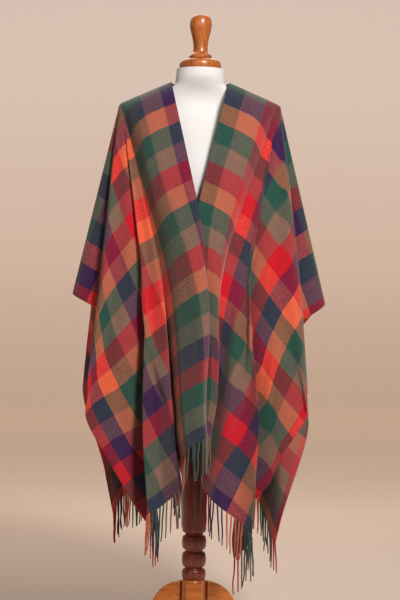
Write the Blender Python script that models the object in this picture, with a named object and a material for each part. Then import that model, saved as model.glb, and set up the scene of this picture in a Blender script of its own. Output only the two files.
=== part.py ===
# An open-front wool ruana (poncho) resting on a limbless dress form with a turned wooden stand.
# Metres, +Z up. The wearer's front looks along -Y and the floor is z = 0. The shapes are worked out around
# the post's axis, and the whole is then centred on the origin.
import bpy
import bmesh
import math
from mathutils import Matrix, Vector

# --- the cloth as it was cut -------------------------------------------------------------
FRONT_LENGTH = 0.90        # shoulder fold to front hem
BACK_LENGTH = 0.90         # shoulder fold to back hem
LEFT_WIDTH = 0.626         # slit to selvedge, the half at -X
RIGHT_WIDTH = 0.626        # slit to selvedge, the half at +X
SLIT_BEHIND_FOLD = 0.105   # the slit runs this far past the shoulder fold, behind the neck
CLOTH_THICKNESS = 0.0024
FRINGE_LENGTH = 0.094
FRINGE_THICKNESS = 0.0030
FRINGE_STEP = 0.026        # width of one face of it along the hem
FRONT_FRINGES = {          # the stretches of hem, by distance from the slit, that hang clear
    "left": (("fringe_centre", 0.004, 0.150), ("fringe_front_left", 0.300, LEFT_WIDTH)),
    "right": (("fringe_front_right", 0.350, 0.510),),
}
FRINGE_GAP = 0.004         # below the hem, so the two solids stay clear of each other
SEAM_GAP = 0.0005
TURN_ROWS = (0.007, 0.016, 0.028, 0.044)   # rows of faces where the cloth turns over the shoulder
YARN_SHEAR = {"left": 13.0, "right": 15.0}   # degrees the yarns close up where it hangs on the bias
SELVEDGE_SHEAR = {"left": 7.0, "right": 14.0}   # and beside the selvedge
TIP_BEND = 0.012           # radius the cloth turns over at the shoulder tip
SHOULDER_BEND = 0.024      # along the shoulder
NECK_BEND = {"front": 0.078, "back": 0.105}   # and beside the neck

# --- the shoulders that carry it ---------------------------------------------------------
NECK_SIDE = 0.072
NECK_HEIGHT = 1.430
TIP_SIDE = 0.194
TIP_HEIGHT = 1.377
TIP_ON_CLOTH = {"left": 0.141, "right": 0.127}   # from the slit to the shoulder tip, along the cloth

# --- how the folds hang ------------------------------------------------------------------
# Each fold runs out from the shoulder tip. "cloth" is its angle on the flat cloth, from 0 along the
# shoulder fold to 90 along the warp. "out" and "away" are its lean from straight down, in degrees,
# sideways and away from the body, at elbow height and at the hem:
# (cloth, out, away, hem_out, hem_away)
FRONT_FOLDS = {
    "left": (
        (0.0, 12.2, -7.0, 12.2, -7.0),       # seam with the back, behind the sleeve ridge
        (6.0, 13.2, -1.0, 13.2, -1.0),       # sleeve ridge
        (12.0, 8.8, 2.0, 8.8, 2.0),          # face of the sleeve
        (27.0, -5.4, 2.2, -5.4, 2.2),        # hidden valley
        (40.0, 4.6, 5.8, 4.8, 6.2),          # outer edge of the front
        (44.0, 4.0, 9.2, 5.4, 9.4),          # its flat
        (49.0, 2.0, 8.6, 5.4, 9.4),
        (54.5, -1.2, 7.8, 5.2, 8.6),         # soft valley
        (61.4, -5.3, 8.6, 0.5, 8.4),
        (66.0, -8.7, 7.4, -2.8, 5.8),
        (70.0, -9.9, 4.6, -6.2, 4.0),        # pleat tucked behind the ridge
        (75.0, -8.5, 10.6, -4.9, 10.0),      # sharp ridge
        (79.0, -10.3, 9.0, -7.4, 8.8),        # flat of the main panel
        (82.5, -13.2, 10.6, -10.0, 10.4),     # its inner edge
        (86.5, -14.4, 9.6, -9.2, 3.4),      # deep valley
        (90.0, -16.6, 13.8, -11.5, 14.6),    # centre strip
    ),
    "right": (
        (0.0, 12.6, -7.0, 12.6, -7.0),       # seam with the back, behind the sleeve ridge
        (6.0, 13.6, -1.0, 13.6, -1.0),       # sleeve ridge
        (12.0, 9.0, 2.0, 9.0, 2.0),          # face of the sleeve
        (26.0, -3.0, 2.0, -3.0, 2.0),        # hidden valley
        (38.5, 6.4, 6.4, 5.2, 6.6),          # outer edge of the front
        (43.0, 4.4, 9.2, 5.0, 9.4),          # its flat
        (47.0, -0.6, 8.2, 5.2, 8.6),          # soft valley
        (52.0, -4.4, 8.6, 3.0, 8.4),
        (56.5, -7.0, 8.4, 0.6, 8.0),
        (61.0, -9.8, 7.8, -1.4, 7.2),
        (66.0, -12.4, 6.0, -5.8, 5.0),       # pleat tucked behind the ridge
        (72.0, -9.8, 10.8, -3.4, 10.2),      # sharp ridge
        (76.5, -10.1, 9.0, -5.6, 8.8),       # flat of the main panel
        (80.0, -11.8, 10.2, -8.8, 9.8),      # its inner edge
        (84.0, -13.2, 11.0, -10.6, 6.0),     # pleat behind the opening
        (90.0, -17.8, 12.0, -11.4, 5.0),     # pleat behind the opening
    ),
}
BACK_FOLDS = {
    "left": (
        (0.0, 12.2, 7.0, 12.2, 7.0),
        (12.0, 12.6, 17.0, 12.6, 17.0),
        (30.0, 0.0, 4.4, 0.0, 4.4),
        (46.0, 8.0, 13.0, 7.0, 12.0),
        (57.0, 2.4, 7.6, 2.0, 6.0),
        (66.0, -1.0, 13.0, -0.5, 12.0),
        (75.0, -5.0, 10.0, -4.5, 6.5),
        (83.0, -7.0, 13.0, -6.5, 11.0),
        (90.0, -9.5, 12.0, -8.5, 8.5),
    ),
    "right": (
        (0.0, 12.6, 7.0, 12.6, 7.0),
        (12.0, 13.0, 17.0, 13.0, 17.0),
        (31.0, 0.4, 4.2, 0.4, 4.2),
        (48.0, 7.4, 12.6, 6.4, 12.4),
        (59.0, 1.6, 8.2, 1.2, 6.0),
        (68.0, -2.4, 13.0, -1.6, 11.6),
        (77.0, -6.0, 10.4, -5.6, 7.0),
        (84.0, -8.4, 12.0, -8.0, 9.6),
        (90.0, -10.0, 12.0, -9.4, 9.0),
    ),
}
FOLDS_FULL = 0.14          # distance from the shoulder tip where the folds have their full depth
FOLDS_CHANGE = {           # from where on down the cloth they change, to where they are the hem's
    "left": (0.36, 0.90),
    "right": (0.36, 0.84),
    "back": (0.46, 0.95),
}

FOLD_SLANT = 14.0          # degrees of cloth that the front folds drift over from shoulder to hem

# The edge of each front beside the slit, and how far it rolls under at the hem:
# (out, away, hem_out, hem_away, roll_out, roll_away)
SLIT_EDGES = {
    "left": (-12.4, 15.6, -3.4, 5.4, -0.050, 0.026),
    "right": (-12.9, 12.2, -5.6, 4.4, 0.026, -0.004),
}
CENTRE_BACK = (0.0, 11.5, 0.0, 8.0, 0.0, 0.0)

# --- the dress form: (height, half_width, front, back) at each level ---------------------
TORSO_LEVELS = (
    (0.740, 0.128, 0.084, 0.094),
    (0.770, 0.142, 0.092, 0.104),
    (0.850, 0.146, 0.094, 0.108),
    (0.960, 0.120, 0.080, 0.086),
    (1.040, 0.114, 0.074, 0.078),
    (1.130, 0.130, 0.084, 0.082),
    (1.190, 0.140, 0.080, 0.084),
    (1.250, 0.148, 0.064, 0.078),
    (1.310, 0.160, 0.048, 0.062),
    (1.340, 0.172, 0.038, 0.046),
    (1.362, 0.176, 0.026, 0.034),
    (1.376, 0.158, 0.022, 0.026),
    (1.392, 0.122, 0.022, 0.028),
    (1.408, 0.088, 0.028, 0.034),
    (1.422, 0.066, 0.038, 0.040),
    (1.440, 0.061, 0.050, 0.048),
    (1.463, 0.059, 0.054, 0.052),
)
TORSO_SIDES = 40

# --- the turned stand --------------------------------------------------------------------
POST_RADIUS = 0.030
POST_TOP = 0.7397
TURNED_SIDES = 28
CAP_BOTTOM = 1.4633
FINIAL_TOP = 1.600
LEG_THICKNESS = 0.038
LEG_COUNT = 3
LEG_SPREAD = 0.255         # from the axis to the end of each foot

WOOD_BROWN = (0.42, 0.13, 0.05)
FORM_WHITE = (0.82, 0.79, 0.74)
WOOL_RED = (0.42, 0.10, 0.08)
WOOL_BROWN = (0.30, 0.13, 0.10)
WOOL_OLIVE = (0.16, 0.17, 0.11)
FRINGE_TAN = (0.34, 0.20, 0.14)


def clear_scene():
    for item in list(bpy.data.objects):
        bpy.data.objects.remove(item, do_unlink=True)


def make_material(name, colour, roughness, metallic=0.0):
    material = bpy.data.materials.new(name)
    material.use_nodes = True
    shader = material.node_tree.nodes["Principled BSDF"]
    shader.inputs["Base Color"].default_value = (*colour, 1.0)
    shader.inputs["Roughness"].default_value = roughness
    shader.inputs["Metallic"].default_value = metallic
    return material


def add_object(name, bm, material, smooth_angle=40.0):
    bmesh.ops.recalc_face_normals(bm, faces=bm.faces)
    mesh = bpy.data.meshes.new(name)
    bm.to_mesh(mesh)
    bm.free()
    mesh.shade_smooth()
    mesh.set_sharp_from_angle(angle=math.radians(smooth_angle))
    mesh.materials.append(material)
    item = bpy.data.objects.new(name, mesh)
    bpy.context.scene.collection.objects.link(item)
    return item


def smooth_step(value, low, high):
    share = min(max((value - low) / (high - low), 0.0), 1.0)
    return share * share * (3.0 - 2.0 * share)


def between(rows, place):
    """Read a table of rows at a place in its first column, along a smooth curve through them."""
    last = len(rows) - 1
    at = 0
    while at < last - 1 and place > rows[at + 1][0]:
        at += 1
    first, second = rows[at], rows[at + 1]
    before, after = rows[max(at - 1, 0)], rows[min(at + 2, last)]
    span = second[0] - first[0]
    share = min(max((place - first[0]) / span, 0.0), 1.0)
    values = []
    for column in range(1, len(first)):
        slope_in = (second[column] - before[column]) / (second[0] - before[0]) * span
        slope_out = (after[column] - first[column]) / (after[0] - first[0]) * span
        cube, square = share ** 3, share ** 2
        values.append(
            (2 * cube - 3 * square + 1) * first[column]
            + (cube - 2 * square + share) * slope_in
            + (3 * square - 2 * cube) * second[column]
            + (cube - square) * slope_out)
    return values


def lean(out, away):
    """A direction that leans from straight down, as (sideways, away from the body, up)."""
    side = math.sin(math.radians(out))
    depth = math.sin(math.radians(away))
    return Vector((side, depth, -math.sqrt(1.0 - side * side - depth * depth)))


def hang(start, first_direction, bend, leans, share, reach):
    """A thread from start that bends over the shoulder along an arc and then hangs at a lean."""
    out, away, hem_out, hem_away = leans
    down = lean(out + (hem_out - out) * share, away + (hem_away - away) * share)
    whole_turn = first_direction.angle(down)
    inward = (down - first_direction * math.cos(whole_turn)).normalized()
    turn = min(reach / bend, whole_turn)
    rounded = first_direction * math.sin(turn) + inward * (1.0 - math.cos(turn))
    return start + rounded * bend + down * (reach - bend * turn)


def drape(across, along, half, folds, edge, slit_end=0.0):
    """The place of a point of the cloth, from how far it is from the slit and the shoulder fold."""
    tip_across = TIP_ON_CLOTH[half]
    tip = Vector((TIP_SIDE, 0.0, TIP_HEIGHT))
    neck = Vector((NECK_SIDE, 0.0, NECK_HEIGHT))
    slope = (tip - neck).normalized()
    change = FOLDS_CHANGE["back" if slit_end > 0.0 else half]
    if across >= tip_across:
        beyond = across - tip_across
        stiff = smooth_step(beyond, 0.30, 0.48)
        shear = math.radians(YARN_SHEAR[half] + (SELVEDGE_SHEAR[half] - YARN_SHEAR[half]) * stiff)
        flat_side = beyond + along * math.sin(shear)
        reach = math.hypot(flat_side, along * math.cos(shear))
        cloth_angle = math.degrees(math.atan2(along, beyond))
        turn = math.radians(cloth_angle)
        level = slope * math.cos(turn) + Vector((0.0, math.sin(turn), 0.0))
        bend = TIP_BEND + (SHOULDER_BEND - TIP_BEND) * math.sin(turn) ** 2
        loose = smooth_step(cloth_angle, 38.0, 52.0) * (1.0 - smooth_step(cloth_angle, 78.0, 90.0))
        slant = 0.0 if slit_end > 0.0 else FOLD_SLANT
        drift = slant * (smooth_step(reach, 0.2, 1.0) - 0.5) * loose
        folded = between(folds, cloth_angle + drift)
        plain = between((folds[0], folds[1], folds[-1]), cloth_angle)
        deep = smooth_step(reach, 0.0, FOLDS_FULL)
        leans = [plain[i] + (folded[i] - plain[i]) * deep for i in range(4)]
        return hang(tip, level, bend, leans, smooth_step(reach, *change), reach)
    share = across / tip_across
    start = neck.lerp(tip, share)
    if slit_end > 0.0:
        gap = 1.0 - smooth_step(along, 0.0, slit_end)
        start.x = NECK_SIDE * gap * (1.0 - share) + TIP_SIDE * share
    tip_lean = folds[-1][1:]
    rounded = share * share * (2.0 - share) if slit_end > 0.0 else share
    shares = (share, rounded, share, rounded)
    values = [edge[i] + (tip_lean[i] - edge[i]) * shares[i] for i in range(4)]
    if slit_end > 0.0:
        bend = SHOULDER_BEND + (NECK_BEND["back"] - SHOULDER_BEND) * (1.0 - share) ** 2
    else:
        bend = SHOULDER_BEND + (NECK_BEND["front"] - SHOULDER_BEND) * (1.0 - share ** 6)
    place = hang(start, Vector((0.0, 1.0, 0.0)), bend, values, smooth_step(along, *change), along)
    roll = smooth_step(along, 0.25, 0.72) * 4.0 * share * (1.0 - share)
    place.x += edge[4] * roll
    place.y += edge[5] * roll
    return place


def spread_columns(tip_across, width, inner, outer):
    """Distances from the slit, with one column exactly on the shoulder tip."""
    columns = [tip_across * index / inner for index in range(inner)]
    columns += [tip_across + (width - tip_across) * index / outer for index in range(outer + 1)]
    return columns


def spread_rows(length, count):
    """Distances from the shoulder fold, closer together where the cloth turns over it."""
    rows = [SEAM_GAP / 2.0, *TURN_ROWS]
    rows += [TURN_ROWS[-1] + (length - TURN_ROWS[-1]) * (index + 1) / count for index in range(count)]
    return rows


def sheet(bm, columns, rows, place):
    """A grid of faces over flat cloth, each vertex moved to its place."""
    wide, tall = len(columns) - 1, len(rows) - 1
    grid = bmesh.ops.create_grid(bm, x_segments=wide, y_segments=tall, size=1.0)
    for vertex in grid["verts"]:
        column = round((vertex.co.x + 1.0) / 2.0 * wide)
        row = round((vertex.co.y + 1.0) / 2.0 * tall)
        vertex.co = place(columns[column], rows[row])
    return grid["verts"]


def to_world(place, half, facing):
    side = -1.0 if half == "left" else 1.0
    return Vector((side * place.x, facing * place.y, place.z))


def wall(item, thickness):
    solid = item.modifiers.new("wall", "SOLIDIFY")
    solid.thickness = thickness
    solid.offset = 0.0
    return item


def build_front(half, width, material):
    columns = spread_columns(TIP_ON_CLOTH[half], width, 8, 26)
    rows = spread_rows(FRONT_LENGTH, 25)

    def place(across, along):
        draped = drape(across, along, half, FRONT_FOLDS[half], SLIT_EDGES[half])
        return to_world(draped, half, -1.0)

    bm = bmesh.new()
    sheet(bm, columns, rows, place)
    wall(add_object("front_" + half, bm, material), CLOTH_THICKNESS)
    for name, first, last in FRONT_FRINGES[half]:
        build_fringe(name, [(place, first, last)], FRONT_LENGTH)


def build_back(material):
    rows = spread_rows(BACK_LENGTH, 23)
    nearest = min(range(len(rows)), key=lambda index: abs(rows[index] - SLIT_BEHIND_FOLD))
    rows[nearest] = SLIT_BEHIND_FOLD
    stretches = []
    bm = bmesh.new()
    for half, width in (("left", LEFT_WIDTH), ("right", RIGHT_WIDTH)):
        columns = spread_columns(TIP_ON_CLOTH[half], width, 7, 21)

        def place(across, along, half=half):
            draped = drape(across, along, half, BACK_FOLDS[half], CENTRE_BACK, SLIT_BEHIND_FOLD)
            return to_world(draped, half, 1.0)

        sheet(bm, columns, rows, place)
        stretches.append((place, 0.0, width))
    bmesh.ops.remove_doubles(bm, verts=bm.verts, dist=0.00005)
    wall(add_object("back", bm, material), CLOTH_THICKNESS)
    build_fringe("fringe_back", stretches, BACK_LENGTH)


def build_fringe(name, stretches, length):
    """The fringe as one thin solid of its reach, hanging from stretches of the hem."""
    bm = bmesh.new()
    drops = [0.0, FRINGE_LENGTH / 2.0, FRINGE_LENGTH]
    for place, first, last in stretches:
        count = max(round((last - first) / FRINGE_STEP), 2)
        columns = [first + (last - first) * index / count for index in range(count + 1)]

        def hanging(across, drop, place=place):
            return place(across, length + FRINGE_GAP) - Vector((0.0, 0.0, drop))

        sheet(bm, columns, drops, hanging)
    bmesh.ops.remove_doubles(bm, verts=bm.verts, dist=0.00005)
    material = make_material(name + "_wool", FRINGE_TAN, 0.9)
    wall(add_object(name, bm, material), FRINGE_THICKNESS)


def build_torso():
    """The smooth stuffed body of the form, a ring of points at each level."""
    bm = bmesh.new()
    loops = []
    for height, half_width, front, back in TORSO_LEVELS:
        loop = []
        for index in range(TORSO_SIDES):
            turn = 2.0 * math.pi * index / TORSO_SIDES
            depth = back if math.sin(turn) > 0.0 else front
            loop.append(bm.verts.new((half_width * math.cos(turn), depth * math.sin(turn), height)))
        loops.append(loop)
    for lower, upper in zip(loops, loops[1:]):
        for index in range(TORSO_SIDES):
            after = (index + 1) % TORSO_SIDES
            bm.faces.new((lower[index], lower[after], upper[after], upper[index]))
    bm.faces.new(reversed(loops[0]))
    bm.faces.new(loops[-1])
    add_object("torso", bm, make_material("form_cloth", FORM_WHITE, 0.85), 60.0)


def turned(name, profile, material):
    """A turned piece from (radius, height) points that begin and end on the axis."""
    bm = bmesh.new()
    points = [bm.verts.new((radius, 0.0, height)) for radius, height in profile]
    edges = [bm.edges.new(pair) for pair in zip(points, points[1:])]
    bmesh.ops.spin(
        bm, geom=points + edges, cent=(0.0, 0.0, 0.0), axis=(0.0, 0.0, 1.0),
        angle=2.0 * math.pi, steps=TURNED_SIDES, use_merge=True)
    bmesh.ops.remove_doubles(bm, verts=bm.verts, dist=0.00005)
    return add_object(name, bm, material, 35.0)


def arc(radius_at, height_at, radius, start, end, steps):
    """Points of a round bead in the turned profile, angles in degrees from +radius."""
    points = []
    for index in range(steps + 1):
        turn = math.radians(start + (end - start) * index / steps)
        points.append((radius_at + radius * math.cos(turn), height_at + radius * math.sin(turn)))
    return points


def bead(bottom, top, radius, inner, steps=6):
    """A half-round bead between two heights, bulging from inner out to radius."""
    middle = (bottom + top) / 2.0
    half = (top - bottom) / 2.0
    points = []
    for index in range(steps + 1):
        turn = math.radians(-90.0 + 180.0 * index / steps)
        swell = math.cos(turn) ** 0.6 if math.cos(turn) > 1e-9 else 0.0
        points.append((inner + (radius - inner) * swell, middle + half * math.sin(turn)))
    return points


def build_stand(wood):
    groove = 0.0215
    profile = [(0.0, 0.1905)]
    profile += bead(0.1905, 0.2170, POST_RADIUS, 0.0225)
    profile += [(groove, 0.2195)]
    profile += bead(0.2220, 0.2590, POST_RADIUS * 1.01, 0.0225)
    profile += [(groove, 0.2620)]
    profile += bead(0.2655, 0.3000, POST_RADIUS * 1.02, 0.0225)
    profile += [(groove, 0.3040), (0.0285, 0.3095), (POST_RADIUS, 0.3125)]
    profile += [(POST_RADIUS, POST_TOP), (0.0, POST_TOP)]
    turned("post", profile, wood)
    hub = [(0.0, 0.0640), (0.0230, 0.0640), (0.0300, 0.0720)]
    hub += [(0.0300, 0.1860), (0.0260, 0.1902), (0.0, 0.1902)]
    turned("base_hub", hub, wood)


def build_leg(number, wood):
    """One curved board leg: a round knee under the post, sweeping out to a flat foot."""
    outer = arc(0.020, 0.0850, 0.100, 83.0, 12.0, 9)
    outer += [(0.132, 0.082), (0.156, 0.062), (0.188, 0.047), (0.222, 0.042), (LEG_SPREAD, 0.036)]
    outer += [(LEG_SPREAD + 0.004, 0.020), (LEG_SPREAD, 0.0)]
    inner = [(0.205, 0.0), (0.186, 0.008), (0.150, 0.021), (0.118, 0.040), (0.092, 0.060)]
    inner += [(0.074, 0.072), (0.0304, 0.072)]
    start = [(0.0304, 0.1843)]
    bm = bmesh.new()
    half_thickness = LEG_THICKNESS / 2.0
    outline = [bm.verts.new((radius, -half_thickness, height)) for radius, height in start + outer + inner]
    face = bm.faces.new(outline)
    moved = bmesh.ops.extrude_face_region(bm, geom=[face])
    side = [item for item in moved["geom"] if isinstance(item, bmesh.types.BMVert)]
    bmesh.ops.translate(bm, verts=side, vec=(0.0, LEG_THICKNESS, 0.0))
    turn = Matrix.Rotation(math.radians(-90.0 + 360.0 * number / LEG_COUNT), 4, "Z")
    bmesh.ops.transform(bm, matrix=turn, verts=bm.verts)
    add_object("leg_" + str(number + 1), bm, wood, 35.0)


def build_neck(wood):
    cap = [(0.0, CAP_BOTTOM), (0.0500, CAP_BOTTOM), (0.0525, CAP_BOTTOM + 0.006)]
    cap += [(0.0520, CAP_BOTTOM + 0.016)]
    cap += [(0.0440, CAP_BOTTOM + 0.0225), (0.0310, CAP_BOTTOM + 0.0260), (0.0, CAP_BOTTOM + 0.0262)]
    turned("neck_cap", cap, wood)
    base = CAP_BOTTOM + 0.0265
    knob = [(0.0, base), (0.0275, base), (0.0285, base + 0.006), (0.0250, base + 0.011)]
    knob += [(0.0200, base + 0.015)]
    knob += [(0.0180, base + 0.024), (0.0184, base + 0.036), (0.0205, base + 0.050), (0.0245, base + 0.066)]
    knob += [(0.0272, base + 0.079), (0.0276, base + 0.088), (0.0262, base + 0.097), (0.0220, base + 0.1045)]
    knob += [(0.0150, base + 0.1090), (0.0, FINIAL_TOP)]
    turned("finial", knob, wood)


def stand_on_origin():
    """Move everything sideways until the origin is under the middle of the whole object."""
    bpy.context.view_layer.update()
    graph = bpy.context.evaluated_depsgraph_get()
    items = list(bpy.context.scene.collection.objects)
    corners = [Vector(corner) for item in items for corner in item.evaluated_get(graph).bound_box]
    low_x, high_x = min(c.x for c in corners), max(c.x for c in corners)
    low_y, high_y = min(c.y for c in corners), max(c.y for c in corners)
    for item in items:
        item.location = (-(low_x + high_x) / 2.0, -(low_y + high_y) / 2.0, 0.0)


def main():
    clear_scene()
    wood = make_material("varnished_wood", WOOD_BROWN, 0.3)
    build_front("left", LEFT_WIDTH, make_material("front_left_wool", WOOL_BROWN, 0.9))
    build_front("right", RIGHT_WIDTH, make_material("front_right_wool", WOOL_RED, 0.9))
    build_back(make_material("back_wool", WOOL_OLIVE, 0.9))
    build_torso()
    build_stand(wood)
    for number in range(LEG_COUNT):
        build_leg(number, wood)
    build_neck(wood)
    stand_on_origin()


main()
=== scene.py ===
import bpy
import bmesh
import math
import random
from mathutils import Matrix, Vector


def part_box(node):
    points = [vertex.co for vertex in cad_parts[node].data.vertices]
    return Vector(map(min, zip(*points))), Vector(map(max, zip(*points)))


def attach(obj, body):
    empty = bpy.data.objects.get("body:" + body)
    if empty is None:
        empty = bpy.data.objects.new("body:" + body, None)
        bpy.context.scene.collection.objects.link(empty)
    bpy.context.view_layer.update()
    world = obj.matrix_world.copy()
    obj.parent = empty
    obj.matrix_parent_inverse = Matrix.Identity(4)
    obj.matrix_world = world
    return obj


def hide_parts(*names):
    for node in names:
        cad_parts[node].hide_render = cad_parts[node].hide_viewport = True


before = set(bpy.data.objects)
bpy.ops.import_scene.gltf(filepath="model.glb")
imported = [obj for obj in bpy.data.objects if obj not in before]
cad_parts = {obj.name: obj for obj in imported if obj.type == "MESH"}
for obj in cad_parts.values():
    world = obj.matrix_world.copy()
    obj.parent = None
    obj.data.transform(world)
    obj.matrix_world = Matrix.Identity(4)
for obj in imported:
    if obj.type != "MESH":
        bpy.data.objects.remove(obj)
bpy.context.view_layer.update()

# An open-front wool ruana in a big coloured check, on a limbless form with a turned stand.
# The front looks along -Y. The stand's axis is where the post is.
postLow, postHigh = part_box("post")
axis = Vector(((postLow.x + postHigh.x) / 2, (postLow.y + postHigh.y) / 2, 0.0))


# ---- small helpers ----

def smoothStep(value, low, high):
    share = min(max((value - low) / (high - low), 0.0), 1.0)
    return share * share * (3.0 - 2.0 * share)


def between(rows, place):
    # reads a table at a place in its first column, along a smooth curve through the rows
    last = len(rows) - 1
    at = 0
    while at < last - 1 and place > rows[at + 1][0]:
        at += 1
    first, second = rows[at], rows[at + 1]
    before, after = rows[max(at - 1, 0)], rows[min(at + 2, last)]
    span = second[0] - first[0]
    share = min(max((place - first[0]) / span, 0.0), 1.0)
    square, cube = share ** 2, share ** 3
    values = []
    for column in range(1, len(first)):
        slopeIn = (second[column] - before[column]) / (second[0] - before[0]) * span
        slopeOut = (after[column] - first[column]) / (after[0] - first[0]) * span
        values.append(
            (2 * cube - 3 * square + 1) * first[column] + (cube - 2 * square + share) * slopeIn
            + (3 * square - 2 * cube) * second[column] + (cube - square) * slopeOut)
    return values


def addObject(name, bm, material):
    mesh = bpy.data.meshes.new(name)
    bm.to_mesh(mesh)
    bm.free()
    mesh.shade_smooth()
    mesh.materials.append(material)
    obj = bpy.data.objects.new(name, mesh)
    bpy.context.scene.collection.objects.link(obj)
    return obj


def newMaterial(name):
    material = bpy.data.materials.new(name)
    material.use_nodes = True
    return material, material.node_tree, material.node_tree.nodes["Principled BSDF"]


def addNode(tree, kind, inputs, **settings):
    made = tree.nodes.new(kind)
    for setting, value in settings.items():
        setattr(made, setting, value)
    for key, value in inputs.items():
        if isinstance(value, bpy.types.NodeSocket):
            tree.links.new(value, made.inputs[key])
        else:
            made.inputs[key].default_value = value
    return made


def maths(tree, operation, first, second=0.0, third=0.0):
    made = addNode(tree, "ShaderNodeMath", {0: first, 1: second, 2: third}, operation=operation)
    return made.outputs[0]


def clamp(tree, value):
    return addNode(tree, "ShaderNodeClamp", {0: value}).outputs[0]


def scaleVector(tree, vector, scale):
    made = addNode(tree, "ShaderNodeVectorMath", {0: vector, "Scale": scale}, operation="SCALE")
    return made.outputs[0]


def addNoise(tree, vector, scale, detail=2.0):
    return addNode(tree, "ShaderNodeTexNoise", {"Vector": vector, "Scale": scale, "Detail": detail})


def addBump(tree, shader, height, strength, distance):
    made = addNode(
        tree, "ShaderNodeBump", {"Height": height, "Strength": strength, "Distance": distance})
    tree.links.new(made.outputs[0], shader.inputs["Normal"])


def mixColour(tree, factor, first, second):
    made = addNode(tree, "ShaderNodeMix", {0: factor, 6: first, 7: second}, data_type="RGBA")
    return made.outputs[2]


# ---- camera, light and floor ----

view = {
    "distance": 3.80,        # from the stand's axis
    "height": 0.8875,        # of the lens, and of the middle of the view
    "aside": 0.0068,         # of the lens from the stand's axis
    "tall": 1.50,            # what the view takes in at the axis
    "roll": 0.75,            # degrees
    "sensor": 36.0,
}

studio = {
    "paper": (0.76, 0.62, 0.52),
    "glowHigh": (0.455, 0.375, 0.330),   # painted light: the paper glows by itself, brighter high and dimmer low, in place of the light that falls on it
    "glowLow": (0.285, 0.190, 0.130),
    "glowTurns": (0.0, 2.8),    # heights between which one passes into the other
    "glowStarts": (0.2, 2.6),   # distances behind the stand over which the glow comes up
    "clouds": 0.08,          # how uneven the glow is
    "wide": 18.0,
    "front": 9.0,            # how far the floor comes forward
    "back": 7.4,             # where it turns up
    "turn": 1.2,             # radius of the turn
    "turnSteps": 16,
    "tall": 6.0,
    "world": (1.0, 0.93, 0.86),
    "worldStrength": 0.09,
    "lampsAim": 0.95,        # height on the stand's axis
}

lamps = [
    # name, place, size, watts, colour
    ("keyLamp", (1.1, -2.8, 3.0), 0.6, 136.0, (1.0, 0.97, 0.94)),
    ("fillLamp", (-1.6, -3.2, 2.0), 1.4, 10.0, (1.0, 0.96, 0.92)),
    ("topLamp", (-0.3, 1.5, 3.0), 2.2, 30.0, (1.0, 0.96, 0.92)),
]


def makeCamera():
    camera = bpy.data.cameras.new("camera")
    camera.sensor_fit = "VERTICAL"
    camera.sensor_height = view["sensor"]
    camera.lens = view["sensor"] * view["distance"] / view["tall"]
    obj = bpy.data.objects.new("camera", camera)
    bpy.context.scene.collection.objects.link(obj)
    obj.location = (axis.x + view["aside"], axis.y - view["distance"], view["height"])
    level = Matrix.Rotation(math.radians(90.0), 4, "X")
    obj.rotation_euler = (level @ Matrix.Rotation(math.radians(view["roll"]), 4, "Z")).to_euler()
    bpy.context.scene.camera = obj


def makeLamps():
    for name, place, size, watts, colour in lamps:
        lamp = bpy.data.lights.new(name, "AREA")
        lamp.size = size
        lamp.energy = watts
        lamp.color = colour
        obj = bpy.data.objects.new(name, lamp)
        bpy.context.scene.collection.objects.link(obj)
        obj.location = Vector(place) + axis
        aim = axis + Vector((0.0, 0.0, studio["lampsAim"])) - obj.location
        obj.rotation_euler = aim.to_track_quat("-Z", "Y").to_euler()
    world = bpy.data.worlds.new("studio")
    world.use_nodes = True
    background = world.node_tree.nodes["Background"]
    background.inputs["Color"].default_value = (*studio["world"], 1.0)
    background.inputs["Strength"].default_value = studio["worldStrength"]
    bpy.context.scene.world = world
    bpy.context.scene.view_settings.view_transform = "Standard"


def makeFloor():
    material, tree, shader = newMaterial("paper")
    coordinates = addNode(tree, "ShaderNodeTexCoord", {}).outputs["Object"]
    # painted light: the paper glows by itself, dimmer low and brighter high, a little unevenly, and
    # more strongly the further behind the stand it is
    cloud = addNoise(tree, coordinates, 1.2)
    split = addNode(tree, "ShaderNodeSeparateXYZ", {0: coordinates})
    low, high = studio["glowTurns"]
    lifted = maths(tree, "DIVIDE", maths(tree, "SUBTRACT", split.outputs[2], low), high - low)
    lifted = maths(tree, "ADD", lifted, maths(tree, "MULTIPLY", cloud.outputs["Fac"], studio["clouds"]))
    dim, bright = (*studio["glowLow"], 1.0), (*studio["glowHigh"], 1.0)
    glow = mixColour(tree, clamp(tree, lifted), dim, bright)
    tree.links.new(glow, shader.inputs["Emission Color"])
    first, last = studio["glowStarts"]
    behind = maths(tree, "DIVIDE", maths(tree, "SUBTRACT", split.outputs[1], first), last - first)
    tree.links.new(clamp(tree, behind), shader.inputs["Emission Strength"])
    shader.inputs["Base Color"].default_value = (*studio["paper"], 1.0)
    shader.inputs["Roughness"].default_value = 0.9
    bm = bmesh.new()
    back, radius, steps = studio["back"], studio["turn"], studio["turnSteps"]
    outline = [(-studio["front"], 0.0)]
    for step in range(steps + 1):
        turn = math.radians(-90.0 + 90.0 * step / steps)
        outline.append((back + radius * math.cos(turn), radius * (1.0 + math.sin(turn))))
    outline.append((back + radius, studio["tall"]))
    points = [bm.verts.new((-studio["wide"] / 2, depth, height)) for depth, height in outline]
    edges = [bm.edges.new(pair) for pair in zip(points, points[1:])]
    moved = bmesh.ops.extrude_edge_only(bm, edges=edges)
    side = [item for item in moved["geom"] if isinstance(item, bmesh.types.BMVert)]
    bmesh.ops.translate(bm, verts=side, vec=(studio["wide"], 0.0, 0.0))
    bmesh.ops.recalc_face_normals(bm, faces=bm.faces)
    addObject("paper_sweep", bm, material)


# ---- the wool check ----

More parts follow.
